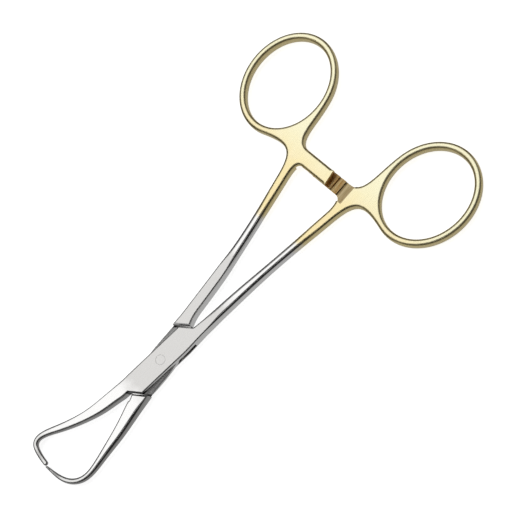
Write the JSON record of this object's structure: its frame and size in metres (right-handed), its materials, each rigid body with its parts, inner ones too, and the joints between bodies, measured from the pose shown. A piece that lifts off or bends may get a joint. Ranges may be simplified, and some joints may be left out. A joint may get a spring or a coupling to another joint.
{
  "type": "towel forceps",
  "caption": "Ring-handled towel forceps with a box joint, a ratchet between the shanks and slim curved jaws that meet at their tips.",
  "frame": {"origin": "on the hinge pin's axis, in the plane of the box joint's underside, on which the forceps rests", "axes": "+X from the pin along the middle line between the handles, +Y to the ring of the male half, +Z out of the upper face"},
  "size_m": [0.1346, 0.0761, 0.0035],
  "materials": {
    "forged_steel": "satin stainless steel, with pale gold plating on the rings, the ratchet and the upper shanks",
    "pin_steel": "satin stainless steel, ground flush"
  },
  "bodies": {
    "female_body": {"female_half": "forged_steel", "hinge_pin": "pin_steel"},
    "male_body": {"male_half": "forged_steel"}
  },
  "joints": [
    {"name": "box_hinge", "type": "hinge", "parent": "female_body", "child": "male_body", "pos_m": [0, 0, 0], "axis": [0, 0, 1], "range_deg": [0, 50]}
  ]
}
